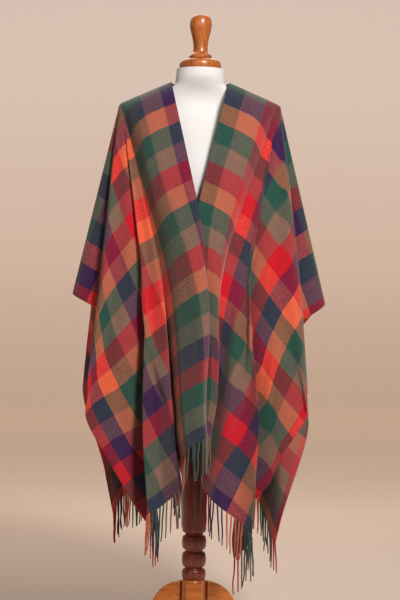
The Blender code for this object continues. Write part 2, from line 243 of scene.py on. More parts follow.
# Yarn colours and the order of the stripes. Warp stripes run down the cloth and are counted from the
# slit, weft stripes run across it and are counted from the shoulder fold.
wool = {
    "yarns": {               # as they look in the light, before the gamma
        "orange": (0.865, 0.425, 0.305),
        "red": (0.765, 0.105, 0.190),
        "green": (0.185, 0.350, 0.310),
        "indigo": (0.265, 0.145, 0.330),
        "tan": (0.530, 0.420, 0.370),
    },
    "warpStripe": 0.056,
    "firstWarp": {"left": 0.034, "right": 0.043},
    "weftStripe": 0.051,
    "warp": {
        "left": "indigo tan green orange red tan indigo tan green orange indigo red",
        "right": "green tan red indigo green tan red indigo orange green tan red",
    },
    "weft": {
        "front": "green indigo orange green tan red orange green tan red orange green tan indigo red "
                 "green tan indigo",
        "back": "red tan green orange red tan green orange red indigo tan green orange red tan green "
                "indigo orange",
    },
    "yarn": 0.0009,          # pitch of the yarns
    "gamma": 2.6,
    "wander": 0.004,         # how far the edges of the stripes stray
    "heather": 1.5,          # how much the two yarns' share of the colour changes from place to place
    "twill": 0.22,           # how much more shows of the yarn on top
    "yarnTone": 0.05,
    "sheen": 0.25,
    "sheenRoughness": 0.55,
}


def stripeRamp(tree, place, width, stripes):
    # stripes is a list of (where it starts, yarn), place is measured across the same width
    ramp = addNode(tree, "ShaderNodeValToRGB", {"Fac": maths(tree, "DIVIDE", place, width)})
    ramp.color_ramp.interpolation = "CONSTANT"
    elements = ramp.color_ramp.elements
    elements.remove(elements[1])
    for index, (start, yarn) in enumerate(stripes):
        element = elements[0] if index == 0 else elements.new(start / width)
        element.position = start / width
        element.color = (*wool["yarns"][yarn], 1.0)
    return ramp.outputs["Color"]


def warpStripes(half):
    start = 0.0
    stripes = []
    for index, yarn in enumerate(wool["warp"][half].split()):
        stripes.append((start, yarn))
        start += wool["firstWarp"][half] if index == 0 else wool["warpStripe"]
    return stripes


def acrossStripes(part):
    # the whole width of a piece: one half of the front, or both halves of the back
    if part != "back":
        return warpStripes(part)
    left, counted = cloth["width"]["left"], warpStripes("left")
    ends = [start for start, yarn in counted[1:]] + [left]
    mirrored = [(max(left - end, 0.0), yarn) for end, (start, yarn) in zip(ends, counted)]
    mirrored.reverse()
    return mirrored + [(left + start, yarn) for start, yarn in warpStripes("right")]


def alongStripes(side):
    return [(index * wool["weftStripe"], yarn) for index, yarn in enumerate(wool["weft"][side].split())]


def woolMaterial(name, part, side, width, length):
    material, tree, shader = newMaterial(name)
    cut = addNode(tree, "ShaderNodeUVMap", {}, uv_map="cut").outputs["UV"]
    wander = addNoise(tree, cut, 35.0, 3.0)
    stray = addNode(tree, "ShaderNodeVectorMath", {
        0: wander.outputs["Color"], 1: (0.5, 0.5, 0.5)}, operation="SUBTRACT").outputs[0]
    moved = addNode(tree, "ShaderNodeVectorMath", {
        0: cut, 1: scaleVector(tree, stray, wool["wander"])}, operation="ADD").outputs[0]
    split = addNode(tree, "ShaderNodeSeparateXYZ", {0: moved})
    across, along = split.outputs[0], split.outputs[1]

    warp = stripeRamp(tree, across, width, acrossStripes(part))
    weft = stripeRamp(tree, along, length, alongStripes(side))

    # two-over-two twill: which yarn lies on top
    warpCount = maths(tree, "FLOOR", maths(tree, "DIVIDE", across, wool["yarn"]))
    weftCount = maths(tree, "FLOOR", maths(tree, "DIVIDE", along, wool["yarn"]))
    diagonal = maths(tree, "DIVIDE", maths(tree, "ADD", warpCount, weftCount), 4.0)
    onTop = maths(tree, "LESS_THAN", maths(tree, "FRACT", diagonal), 0.5)

    # heathered yarns: how much of each colour shows changes from place to place
    speckle = maths(tree, "SUBTRACT", addNoise(tree, cut, 330.0).outputs["Fac"], 0.5)
    share = maths(tree, "MULTIPLY_ADD", speckle, wool["heather"], 0.5)
    lifted = maths(tree, "MULTIPLY", maths(tree, "SUBTRACT", onTop, 0.5), wool["twill"])
    colour = mixColour(tree, clamp(tree, maths(tree, "ADD", share, lifted)), weft, warp)

    # every yarn has its own tone, and so has every patch of the cloth
    patch = addNoise(tree, cut, 42.0)
    warpTone = addNode(tree, "ShaderNodeTexWhiteNoise", {"W": warpCount}, noise_dimensions="1D")
    weftTone = addNode(tree, "ShaderNodeTexWhiteNoise", {"W": weftCount}, noise_dimensions="1D")
    tone = maths(tree, "ADD", warpTone.outputs["Value"], weftTone.outputs["Value"])
    tone = maths(tree, "ADD", tone, maths(tree, "MULTIPLY", patch.outputs["Fac"], 2.0))
    bright = maths(tree, "MULTIPLY_ADD", tone, wool["yarnTone"], 0.90)
    shaded = scaleVector(tree, colour, bright)
    deepened = addNode(tree, "ShaderNodeGamma", {"Color": shaded, "Gamma": wool["gamma"]})
    tree.links.new(deepened.outputs[0], shader.inputs["Base Color"])

    # yarns stand up, with a soft nap between them
    warpRound = maths(tree, "PINGPONG", maths(tree, "DIVIDE", across, wool["yarn"]), 0.5)
    weftRound = maths(tree, "PINGPONG", maths(tree, "DIVIDE", along, wool["yarn"]), 0.5)
    nap = addNoise(tree, cut, 900.0, 3.0)
    warpHeight = maths(tree, "MULTIPLY", warpRound, onTop)
    weftHeight = maths(tree, "MULTIPLY", weftRound, maths(tree, "SUBTRACT", 1.0, onTop))
    height = maths(tree, "ADD", maths(tree, "ADD", warpHeight, weftHeight), nap.outputs["Fac"])
    addBump(tree, shader, height, 0.35, 0.0006)
    shader.inputs["Roughness"].default_value = 0.92
    shader.inputs["Specular IOR Level"].default_value = 0.2
    shader.inputs["Sheen Weight"].default_value = wool["sheen"]
    shader.inputs["Sheen Roughness"].default_value = wool["sheenRoughness"]
    shader.inputs["Sheen Tint"].default_value = (1.0, 0.90, 0.82, 1.0)
    return material


# ---- the cloth ----

cloth = {
    "frontLength": 0.90,
    "backLength": 0.90,
    "width": {"left": 0.626, "right": 0.626},
    "slitBehindFold": 0.105,     # how far the slit runs on down the back
    "thickness": 0.0024,
    "yarnShear": {"left": 13.0, "right": 15.0},      # degrees that the yarns close up on the bias
    "selvedgeShear": {"left": 7.0, "right": 14.0},
    "stiff": (0.30, 0.48),   # from the shoulder tip, where the selvedge's own shear takes over
    "tipBend": 0.012,        # radius it turns over at the shoulder tip, along the shoulder, by the neck
    "shoulderBend": 0.024,
    "neckBend": {"front": 0.078, "back": 0.105},
    "neck": (0.072, 0.0, 1.430),     # the ends of the shoulder, where the cloth lies over it
    "tip": (0.194, 0.0, 1.377),
    "tipOnCloth": {"left": 0.141, "right": 0.127},   # the tip's distance from the slit
    "foldsFull": 0.14,       # from the shoulder tip to where the folds have their depth
    "foldSlant": 14.0,       # degrees of cloth that the front folds drift over from shoulder to hem
    "slantReach": (0.2, 1.0),
    "slantFrom": (38.0, 52.0),       # angles on the cloth where the drift begins and where it dies away
    "slantTo": (78.0, 90.0),
    "change": {"left": (0.36, 0.90), "right": (0.36, 0.84), "back": (0.46, 0.95)},   # elbow to hem
    "rollReach": (0.25, 0.72),       # down the cloth, where the strip beside the slit begins to roll
    "cell": 0.0042,
    "backCell": 0.00525,
    "shoulderCell": {"front": (0.05, 0.0021), "back": (0.035, 0.0024)},   # how far down, and the cell
}

# Folds run out from the shoulder tip: angle on the flat cloth from 0 along the shoulder fold to 90
# along the warp, then the lean in degrees from straight down, sideways and away from the body, at the
# elbow and again at the hem.
frontFolds = {
    "left": (
        (0.0, 12.2, -7.0, 12.2, -7.0),
        (6.0, 13.2, -1.0, 13.2, -1.0),
        (12.0, 8.8, 2.0, 8.8, 2.0),
        (27.0, -5.4, 2.2, -5.4, 2.2),
        (40.0, 4.6, 5.8, 4.8, 6.2),
        (44.0, 4.0, 9.2, 5.4, 9.4),
        (49.0, 2.0, 8.6, 5.4, 9.4),
        (54.5, -1.2, 7.8, 5.2, 8.6),
        (61.4, -5.3, 8.6, 0.5, 8.4),
        (66.0, -8.7, 7.4, -2.8, 5.8),
        (70.0, -9.9, 4.6, -6.2, 4.0),
        (75.0, -8.5, 10.6, -4.9, 10.0),
        (79.0, -10.3, 9.0, -7.4, 8.8),
        (82.5, -13.2, 10.6, -10.0, 10.4),
        (86.5, -14.4, 9.6, -9.2, 3.4),
        (90.0, -16.6, 13.8, -11.5, 14.6),
    ),
    "right": (
        (0.0, 12.6, -7.0, 12.6, -7.0),
        (6.0, 13.6, -1.0, 13.6, -1.0),
        (12.0, 9.0, 2.0, 9.0, 2.0),
        (26.0, -3.0, 2.0, -3.0, 2.0),
        (38.5, 6.4, 6.4, 5.2, 6.6),
        (43.0, 4.4, 9.2, 5.0, 9.4),
        (47.0, -0.6, 8.2, 5.2, 8.6),
        (52.0, -4.4, 8.6, 3.0, 8.4),
        (56.5, -7.0, 8.4, 0.6, 8.0),
        (61.0, -9.8, 7.8, -1.4, 7.2),
        (66.0, -12.4, 6.0, -5.8, 5.0),
        (72.0, -9.8, 10.8, -3.4, 10.2),
        (76.5, -10.1, 9.0, -5.6, 8.8),
        (80.0, -11.8, 10.2, -8.8, 9.8),
        (84.0, -13.2, 11.0, -10.6, 6.0),
        (90.0, -17.8, 12.0, -11.4, 5.0),
    ),
}
backFolds = {
    "left": (
        (0.0, 12.2, 7.0, 12.2, 7.0),
        (12.0, 12.6, 17.0, 12.6, 17.0),
        (30.0, 0.0, 4.4, 0.0, 4.4),
        (46.0, 8.0, 13.0, 7.0, 12.0),
        (57.0, 2.4, 7.6, 2.0, 6.0),
        (66.0, -1.0, 13.0, -0.5, 12.0),
        (75.0, -5.0, 10.0, -4.5, 6.5),
        (83.0, -7.0, 13.0, -6.5, 11.0),
        (90.0, -9.5, 12.0, -8.5, 8.5),
    ),
    "right": (
        (0.0, 12.6, 7.0, 12.6, 7.0),
        (12.0, 13.0, 17.0, 13.0, 17.0),
        (31.0, 0.4, 4.2, 0.4, 4.2),
        (48.0, 7.4, 12.6, 6.4, 12.4),
        (59.0, 1.6, 8.2, 1.2, 6.0),
        (68.0, -2.4, 13.0, -1.6, 11.6),
        (77.0, -6.0, 10.4, -5.6, 7.0),
        (84.0, -8.4, 12.0, -8.0, 9.6),
        (90.0, -10.0, 12.0, -9.4, 9.0),
    ),
}
# The edge beside the slit: its lean at the elbow and at the hem as above, then how far the cloth
# between it and the shoulder tip rolls sideways and away.
slitEdges = {
    "left": (-12.4, 15.6, -3.4, 5.4, -0.050, 0.026),
    "right": (-12.9, 12.2, -5.6, 4.4, 0.026, -0.004),
}
centreBack = (0.0, 11.5, 0.0, 8.0, 0.0, 0.0)


def lean(out, away):
    side, depth = math.sin(math.radians(out)), math.sin(math.radians(away))
    return Vector((side, depth, -math.sqrt(1.0 - side * side - depth * depth)))


def hang(start, firstDirection, bend, leans, share, reach):
    # a thread that turns over the shoulder along an arc and then hangs at a lean
    out, away, hemOut, hemAway = leans
    down = lean(out + (hemOut - out) * share, away + (hemAway - away) * share)
    wholeTurn = firstDirection.angle(down)
    inward = (down - firstDirection * math.cos(wholeTurn)).normalized()
    turn = min(reach / bend, wholeTurn)
    rounded = firstDirection * math.sin(turn) + inward * (1.0 - math.cos(turn))
    return start + rounded * bend + down * (reach - bend * turn)


def drape(across, along, half, folds, edge, slitEnd=0.0):
    # where a point of the flat cut hangs, seen as on the right half; slitEnd is for the back only
    tipAcross = cloth["tipOnCloth"][half]
    neck, tip = Vector(cloth["neck"]), Vector(cloth["tip"])
    change = cloth["change"]["back" if slitEnd > 0.0 else half]
    shoulderBend = cloth["shoulderBend"]
    if across >= tipAcross:
        beyond = across - tipAcross
        stiff = smoothStep(beyond, *cloth["stiff"])
        freeShear, edgeShear = cloth["yarnShear"][half], cloth["selvedgeShear"][half]
        shear = math.radians(freeShear + (edgeShear - freeShear) * stiff)
        reach = math.hypot(beyond + along * math.sin(shear), along * math.cos(shear))
        turn = math.atan2(along, beyond)
        angle = math.degrees(turn)
        level = (tip - neck).normalized() * math.cos(turn) + Vector((0.0, math.sin(turn), 0.0))
        bend = cloth["tipBend"] + (shoulderBend - cloth["tipBend"]) * math.sin(turn) ** 2
        loose = smoothStep(angle, *cloth["slantFrom"]) * (1.0 - smoothStep(angle, *cloth["slantTo"]))
        slant = 0.0 if slitEnd > 0.0 else cloth["foldSlant"]
        drift = slant * (smoothStep(reach, *cloth["slantReach"]) - 0.5) * loose
        folded = between(folds, angle + drift)
        plain = between((folds[0], folds[1], folds[-1]), angle)
        deep = smoothStep(reach, 0.0, cloth["foldsFull"])
        leans = [soft + (full - soft) * deep for soft, full in zip(plain, folded)]
        return hang(tip, level, bend, leans, smoothStep(reach, *change), reach)
    share = across / tipAcross
    start = neck.lerp(tip, share)
    rounded = share
    bend = shoulderBend + (cloth["neckBend"]["front"] - shoulderBend) * (1.0 - share ** 6)
    if slitEnd > 0.0:
        gap = 1.0 - smoothStep(along, 0.0, slitEnd)
        start.x = neck.x * gap * (1.0 - share) + tip.x * share
        rounded = share * share * (2.0 - share)
        bend = shoulderBend + (cloth["neckBend"]["back"] - shoulderBend) * (1.0 - share) ** 2
    shares = (share, rounded, share, rounded)
    leans = [edge[i] + (folds[-1][i + 1] - edge[i]) * shares[i] for i in range(4)]
    place = hang(start, Vector((0.0, 1.0, 0.0)), bend, leans, smoothStep(along, *change), along)
    roll = smoothStep(along, *cloth["rollReach"]) * 4.0 * share * (1.0 - share)
    place.x += edge[4] * roll
    place.y += edge[5] * roll
    return place


def frontPlace(half):
    side = -1.0 if half == "left" else 1.0

    def place(across, along):
        draped = drape(across, along, half, frontFolds[half], slitEdges[half])
        return axis + Vector((side * draped.x, -draped.y, draped.z))
    return place


def backPlace(half):
    side = -1.0 if half == "left" else 1.0

    def place(across, along):
        draped = drape(across, along, half, backFolds[half], centreBack, cloth["slitBehindFold"])
        return axis + Vector((side * draped.x, draped.y, draped.z))
    return place


def spreadEvenly(first, last, cell):
    count = max(round((last - first) / cell), 1)
    return [first + (last - first) * index / count for index in range(count + 1)]


def layGrid(bm, columns, rows, place, across):
    # a grid over the flat cut, each vertex moved to its place; across gives a column's place on the
    # whole cut
    wide, tall = len(columns) - 1, len(rows) - 1
    made = bmesh.ops.create_grid(bm, x_segments=wide, y_segments=tall, size=1.0)
    flat = {}
    for vertex in made["verts"]:
        column = columns[round((vertex.co.x + 1.0) / 2.0 * wide)]
        row = rows[round((vertex.co.y + 1.0) / 2.0 * tall)]
        flat[vertex] = (across(column), row)
        vertex.co = place(column, row)
    layer = bm.loops.layers.uv.get("cut") or bm.loops.layers.uv.new("cut")
    for vertex in made["verts"]:
        for loop in vertex.link_loops:
            loop[layer].uv = flat[vertex]
    return flat


def faceAway(bm, facing):
    # all faces look out from the body
    bmesh.ops.recalc_face_normals(bm, faces=bm.faces)
    bm.normal_update()
    if sum(face.normal.y for face in bm.faces) * facing < 0.0:
        bmesh.ops.reverse_faces(bm, faces=bm.faces)
    bm.normal_update()


def press(flat, marks):
    # marks: from (across, along) to (across, along), half width, height (less than 0 for a trough)
    moves = {}
    for firstAcross, firstAlong, lastAcross, lastAlong, wide, high in marks:
        run = Vector((lastAcross - firstAcross, lastAlong - firstAlong))
        for vertex, (across, along) in flat.items():
            offset = Vector((across - firstAcross, along - firstAlong))
            share = offset.dot(run) / run.length_squared
            if share <= 0.0 or share >= 1.0:
                continue
            away = (offset - run * share).length / wide
            if away < 2.5:
                swell = high * math.sin(math.pi * share) * math.exp(-away * away)
                moves[vertex] = moves.get(vertex, 0.0) + swell
    for vertex, swell in moves.items():
        vertex.co += vertex.normal * swell


creases = {
    "left": (
        (0.145, 0.02, 0.185, 0.46, 0.013, -0.0028),
        (0.105, 0.06, 0.125, 0.34, 0.009, 0.0026),
        (0.060, 0.30, 0.080, 0.90, 0.015, -0.0016),
        (0.112, 0.42, 0.128, 0.92, 0.011, -0.0055),
        (0.215, 0.28, 0.330, 0.90, 0.013, 0.0050),
        (0.262, 0.40, 0.350, 0.93, 0.011, -0.0036),
        (0.300, 0.22, 0.430, 0.70, 0.012, -0.0032),
        (0.400, 0.30, 0.520, 0.78, 0.014, 0.0040),
        (0.020, 0.12, 0.030, 0.56, 0.014, 0.0010),
        (0.252, 0.24, 0.572, 1.02, 0.030, -0.0090),
        (0.330, 0.40, 0.520, 0.86, 0.014, 0.0050),
    ),
    "right": (
        (0.128, 0.02, 0.170, 0.44, 0.013, -0.0028),
        (0.092, 0.05, 0.100, 0.38, 0.010, 0.0028),
        (0.160, 0.06, 0.215, 0.36, 0.011, -0.0016),
        (0.190, 0.10, 0.262, 0.42, 0.012, 0.0018),
        (0.225, 0.16, 0.330, 0.50, 0.012, -0.0038),
        (0.250, 0.34, 0.370, 0.92, 0.013, 0.0048),
        (0.300, 0.46, 0.390, 0.94, 0.011, -0.0034),
        (0.430, 0.34, 0.560, 0.82, 0.014, 0.0040),
        (0.030, 0.10, 0.042, 0.50, 0.012, 0.0028),
        (0.245, 0.24, 0.600, 0.98, 0.026, -0.0085),
        (0.340, 0.42, 0.540, 0.86, 0.014, 0.0050),
    ),
    "back": (
        (0.560, 0.06, 0.548, 0.82, 0.018, 0.0060),
        (0.455, 0.04, 0.380, 0.72, 0.014, -0.0048),
        (0.706, 0.08, 0.716, 0.62, 0.015, -0.0050),
        (0.800, 0.05, 0.880, 0.80, 0.016, 0.0054),
        (0.300, 0.18, 0.220, 0.86, 0.017, 0.0058),
        (0.980, 0.20, 1.060, 0.78, 0.014, -0.0046),
    ),
}


def wallUp(obj):
    wall = obj.modifiers.new("wall", "SOLIDIFY")
    wall.thickness = cloth["thickness"]
    wall.offset = 0.0
    return obj


def makeFront(half):
    width, length = cloth["width"][half], cloth["frontLength"]
    tipAcross = cloth["tipOnCloth"][half]
    cell = cloth["cell"]
    shoulder, fineCell = cloth["shoulderCell"]["front"]
    columns = spreadEvenly(0.0, tipAcross, cell) + spreadEvenly(tipAcross, width, cell)[1:]
    rows = spreadEvenly(0.0, shoulder, fineCell) + spreadEvenly(shoulder, length, cell)[1:]
    bm = bmesh.new()
    flat = layGrid(bm, columns, rows, frontPlace(half), lambda column: column)
    faceAway(bm, -1.0)
    press(flat, creases[half])
    material = woolMaterial("check_" + half, half, "front", width, length)
    obj = wallUp(addObject("front_" + half + "_cloth", bm, material))
    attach(obj, "root")
    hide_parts("front_" + half)
    print("front", half, len(columns) * len(rows), "points")
    return obj


def makeBack():
    length = cloth["backLength"]
    left, right = cloth["width"]["left"], cloth["width"]["right"]
    cell, slit = cloth["backCell"], cloth["slitBehindFold"]
    shoulder, fineCell = cloth["shoulderCell"]["back"]
    rows = spreadEvenly(0.0, shoulder, fineCell) + spreadEvenly(shoulder, slit, cell)[1:]
    rows += spreadEvenly(slit, length, cell)[1:]
    bm = bmesh.new()
    flat = {}
    for half, width in cloth["width"].items():
        tipAcross = cloth["tipOnCloth"][half]
        columns = spreadEvenly(0.0, tipAcross, cell) + spreadEvenly(tipAcross, width, cell)[1:]
        side = -1.0 if half == "left" else 1.0
        onWhole = lambda column, side=side: left + side * column
        flat.update(layGrid(bm, columns, rows, backPlace(half), onWhole))
    bmesh.ops.remove_doubles(bm, verts=bm.verts, dist=0.00005)
    flat = {vertex: spot for vertex, spot in flat.items() if vertex.is_valid}
    faceAway(bm, 1.0)
    press(flat, creases["back"])
    material = woolMaterial("check_back", "back", "back", left + right, length)
    obj = wallUp(addObject("back_cloth", bm, material))
    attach(obj, "root")
    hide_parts("back")
    print("back", len(rows), "rows")
    return obj


# ---- the fringe ----

fringe = {
    "length": 0.094,
    "shortest": 0.88,        # the shortest strand, of the full length
    "step": 0.0125,
    "stray": 0.0015,         # how far a strand is from its place in the row
    "swing": (0.006, 0.005),     # how far its end hangs off, along the hem and across it
    "wave": (0.0006, 0.0022),
    "waves": 9.0,            # radians of it from the hem to the end
    "radius": 0.0020,
    "taper": 0.35,
    "tucked": 0.002,         # how far it reaches up into the hem
    "inset": 0.003,          # of the outermost strands from the edge of the cloth
    "insetMiddle": 0.004,    # on both sides of the middle of the back
    "ply": 160.0,            # turns of the twist in each metre
    "gamma": 2.2,
    "sides": 6,
    "rings": 9,
}


def fringeMaterial(name, part, width):
    material, tree, shader = newMaterial(name)
    flat = addNode(tree, "ShaderNodeUVMap", {}, uv_map="cut")
    split = addNode(tree, "ShaderNodeSeparateXYZ", {0: flat.outputs["UV"]})
    warp = stripeRamp(tree, split.outputs[0], width, acrossStripes(part))
    ply = addNode(tree, "ShaderNodeUVMap", {}, uv_map="ply").outputs["UV"]
    around = addNode(tree, "ShaderNodeSeparateXYZ", {0: ply})
    # the twist of the plies: it makes the bump, and painted shade darkens the colour in the grooves
    # between the plies
    twist = maths(tree, "MULTIPLY", around.outputs[1], fringe["ply"])
    turns = maths(tree, "ADD", around.outputs[0], twist)
    strand = maths(tree, "PINGPONG", maths(tree, "MULTIPLY", turns, 2.0), 0.5)
    fuzz = addNoise(tree, ply, 12.0, 3.0)
    tone = maths(tree, "MULTIPLY_ADD", strand, 0.9, 0.55)
    tone = maths(tree, "MULTIPLY", tone, maths(tree, "MULTIPLY_ADD", fuzz.outputs["Fac"], 0.6, 0.75))
    shaded = scaleVector(tree, warp, tone)
    deepened = addNode(tree, "ShaderNodeGamma", {"Color": shaded, "Gamma": fringe["gamma"]})
    tree.links.new(deepened.outputs[0], shader.inputs["Base Color"])
    addBump(tree, shader, strand, 0.5, 0.0008)
    shader.inputs["Roughness"].default_value = 0.9
    shader.inputs["Specular IOR Level"].default_value = 0.2
    shader.inputs["Sheen Weight"].default_value = wool["sheen"]
    shader.inputs["Sheen Roughness"].default_value = wool["sheenRoughness"]
    return material


def addStrand(bm, start, across, chance):
    # one twisted strand that hangs from the hem with its own slight waves
    sides, rings = fringe["sides"], fringe["rings"]
    length = fringe["length"] * chance.uniform(fringe["shortest"], 1.0)
    swing = [chance.uniform(-limit, limit) for limit in fringe["swing"]]
    wave = chance.uniform(*fringe["wave"])
    phase, slope = chance.uniform(0.0, 6.28), chance.uniform(0.0, 6.28)
    made = bmesh.ops.create_grid(bm, x_segments=sides, y_segments=rings, size=1.0)
    cut = bm.loops.layers.uv.get("cut") or bm.loops.layers.uv.new("cut")
    ply = bm.loops.layers.uv.get("ply") or bm.loops.layers.uv.new("ply")
    flat = {}
    for vertex in made["verts"]:
        around = (vertex.co.x + 1.0) / 2.0
        down = (vertex.co.y + 1.0) / 2.0
        flat[vertex] = (around, down * length)
        radius = fringe["radius"] * (1.0 - fringe["taper"] * down ** 3)
        curl = wave * math.sin(phase + fringe["waves"] * down) * down
        middle = start + Vector((
            swing[0] * down + curl * math.cos(slope), swing[1] * down + curl * math.sin(slope),
            fringe["tucked"] - down * length))
        turn = 2.0 * math.pi * around
        vertex.co = middle + Vector((radius * math.cos(turn), radius * math.sin(turn), 0.0))
    for vertex in made["verts"]:
        for loop in vertex.link_loops:
            loop[cut].uv = (across, 0.0)
            loop[ply].uv = flat[vertex]
    bmesh.ops.remove_doubles(bm, verts=made["verts"], dist=0.00001)


def makeFringe(name, part, stretches, width, nodes):
    # stretches: (place, first, last, side, how far its slit edge is along the whole width)
    chance = random.Random(name)
    bm = bmesh.new()
    count = 0
    for place, first, last, side, offset in stretches:
        for across in spreadEvenly(first, last, fringe["step"]):
            spot = across + chance.uniform(-fringe["stray"], fringe["stray"])
            spot = min(max(spot, first), last)
            addStrand(bm, place(spot), offset + side * spot, chance)
            count += 1
    bmesh.ops.holes_fill(bm, edges=[edge for edge in bm.edges if edge.is_boundary], sides=8)
    bmesh.ops.recalc_face_normals(bm, faces=bm.faces)
    obj = addObject(name, bm, fringeMaterial(name + "_yarn", part, width))
    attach(obj, "root")
    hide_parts(*nodes)
    print(name, count, "strands")
    return obj


def hemOf(place, length):
    return lambda across: place(across, length)


def makeCloth():
    inset = fringe["inset"]
    fringeNodes = {"left": ("fringe_centre", "fringe_front_left"), "right": ("fringe_front_right",)}
    for half, width in cloth["width"].items():
        front = makeFront(half)
        stretch = (hemOf(frontPlace(half), cloth["frontLength"]), inset, width - inset, 1.0, 0.0)
        strands = makeFringe("fringe_" + half, half, [stretch], width, fringeNodes[half])
    back = makeBack()
    stretches = []
    for half, width in cloth["width"].items():
        hemPlace = hemOf(backPlace(half), cloth["backLength"])
        side = -1.0 if half == "left" else 1.0
        stretches.append((
            hemPlace, fringe["insetMiddle"], width - inset, side, cloth["width"]["left"]))
    whole = cloth["width"]["left"] + cloth["width"]["right"]
    strands = makeFringe("fringe_behind", "back", stretches, whole, ("fringe_back",))


# ---- the form ----

# height, half width, depth at the front, depth at the back
torsoLevels = (
    (0.740, 0.128, 0.084, 0.094),
    (0.770, 0.142, 0.092, 0.104),
    (0.850, 0.146, 0.094, 0.108),
    (0.960, 0.120, 0.080, 0.086),
    (1.040, 0.114, 0.074, 0.078),
    (1.130, 0.130, 0.084, 0.082),
    (1.190, 0.140, 0.080, 0.084),
    (1.250, 0.148, 0.064, 0.078),
    (1.310, 0.160, 0.048, 0.062),
    (1.340, 0.172, 0.038, 0.046),
    (1.362, 0.176, 0.026, 0.034),
    (1.376, 0.158, 0.022, 0.026),
    (1.392, 0.122, 0.022, 0.028),
    (1.408, 0.088, 0.028, 0.034),
    (1.422, 0.066, 0.038, 0.040),
    (1.440, 0.061, 0.050, 0.048),
    (1.463, 0.059, 0.054, 0.052),
)

form = {
    "jersey": (0.79, 0.775, 0.765),
    "jerseyShade": 0.93,     # the darker patches of it
    "sides": 72,
    "rings": 110,
}


def jerseyMaterial():
    material, tree, shader = newMaterial("form_jersey")
    coordinates = addNode(tree, "ShaderNodeTexCoord", {}).outputs["Object"]
    cloud = addNoise(tree, coordinates, 14.0)
    light = (*form["jersey"], 1.0)
    dark = (*[value * form["jerseyShade"] for value in form["jersey"]], 1.0)
    tree.links.new(mixColour(tree, cloud.outputs["Fac"], dark, light), shader.inputs["Base Color"])
    knit = addNode(tree, "ShaderNodeTexWave", {
        "Vector": coordinates, "Scale": 220.0, "Distortion": 1.0}, bands_direction="DIAGONAL")
    addBump(tree, shader, knit.outputs["Fac"], 0.12, 0.0004)
    shader.inputs["Roughness"].default_value = 0.88
    shader.inputs["Specular IOR Level"].default_value = 0.25
    shader.inputs["Sheen Weight"].default_value = 0.2
    return material


def makeForm():
    low, high = torsoLevels[0][0], torsoLevels[-1][0]
    bm = bmesh.new()
    made = bmesh.ops.create_grid(bm, x_segments=form["sides"], y_segments=form["rings"], size=1.0)
    for vertex in made["verts"]:
        turn = math.pi * (vertex.co.x + 1.0)
        height = low + (high - low) * (vertex.co.y + 1.0) / 2.0
        halfWidth, front, back = between(torsoLevels, height)
        depth = back if math.sin(turn) > 0.0 else front
        vertex.co = axis + Vector((halfWidth * math.cos(turn), depth * math.sin(turn), height))
    bmesh.ops.remove_doubles(bm, verts=bm.verts, dist=0.00005)
    bmesh.ops.holes_fill(bm, edges=[edge for edge in bm.edges if edge.is_boundary], sides=form["sides"])
    bmesh.ops.recalc_face_normals(bm, faces=bm.faces)
    obj = addObject("form_body", bm, jerseyMaterial())
    obj.data.set_sharp_from_angle(angle=math.radians(50.0))
    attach(obj, "root")
    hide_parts("torso")
    print("form", form["rings"], "rings")


# ---- the turned wood ----

wood = {
    "steps": 64,
    "capBottom": 1.4633,
    "finialTop": 1.600,
    "postTop": 0.7397,
    "postRadius": 0.030,
    "beadFoot": 0.0225,      # radius where the post's beads begin, and of the grooves between them
    "groove": 0.0215,
    "hubTop": 0.1902,
    "hubFace": 0.0304,       # how far out the legs begin
    "legThick": 0.038,
    "legEdge": 0.0045,       # radius of the rounded edges of the legs
    "kneeCentre": (0.020, 0.085),    # out from the axis, and height
    "kneeRadius": 0.100,
    "kneeTurns": (83.0, 12.0),       # degrees up from level, from the hub to the shin
    "kneeSteps": 18,
    "pale": ((0.230, 0.050, 0.009), (0.640, 0.185, 0.030)),      # dark and light of each grain
    "mahogany": ((0.090, 0.008, 0.006), (0.300, 0.042, 0.018)),
    "base": ((0.300, 0.066, 0.010), (0.780, 0.235, 0.040)),
}


def woodMaterial(name, tones, uvGrain=False):
    material, tree, shader = newMaterial(name)
    if uvGrain:
        coordinates = addNode(tree, "ShaderNodeUVMap", {}, uv_map="grain").outputs["UV"]
        stretch = (9.0, 110.0, 1.0)
    else:
        coordinates = addNode(tree, "ShaderNodeTexCoord", {}).outputs["Object"]
        stretch = (110.0, 110.0, 9.0)
    run = addNode(tree, "ShaderNodeVectorMath", {0: coordinates, 1: stretch}, operation="MULTIPLY")
    streak = addNode(tree, "ShaderNodeTexNoise", {
        "Vector": run.outputs[0], "Scale": 1.0, "Detail": 5.0, "Roughness": 0.62, "Distortion": 0.5})
    pores = addNoise(tree, run.outputs[0], 4.5)
    share = maths(tree, "MULTIPLY_ADD", maths(tree, "SUBTRACT", streak.outputs["Fac"], 0.5), 2.2, 0.5)
    flecks = maths(tree, "MULTIPLY", maths(tree, "GREATER_THAN", pores.outputs["Fac"], 0.62), 0.22)
    share = clamp(tree, maths(tree, "SUBTRACT", share, flecks))
    dark, light = tones
    tree.links.new(mixColour(tree, share, (*dark, 1.0), (*light, 1.0)), shader.inputs["Base Color"])
    addBump(tree, shader, streak.outputs["Fac"], 0.12, 0.0004)
    shader.inputs["Roughness"].default_value = 0.42
    shader.inputs["Coat Weight"].default_value = 0.45
    shader.inputs["Coat Roughness"].default_value = 0.16
    return material


def bead(bottom, top, radius, inner):
    # a half-round bead between two heights
    points = []
    middle, half = (bottom + top) / 2, (top - bottom) / 2
    for step in range(13):
        turn = math.radians(-90.0 + 15.0 * step)
        swell = max(math.cos(turn), 0.0) ** 0.6      # a little squarer than round
        points.append((inner + (radius - inner) * swell, middle + half * math.sin(turn)))
    return points


def eased(points, steps=5):
    # the same profile with its corners drawn as a smooth curve, the two ends left as they are
    rows = [(float(index), radius, height) for index, (radius, height) in enumerate(points)]
    count = (len(points) - 1) * steps
    return [tuple(between(rows, index / steps)) for index in range(count + 1)]


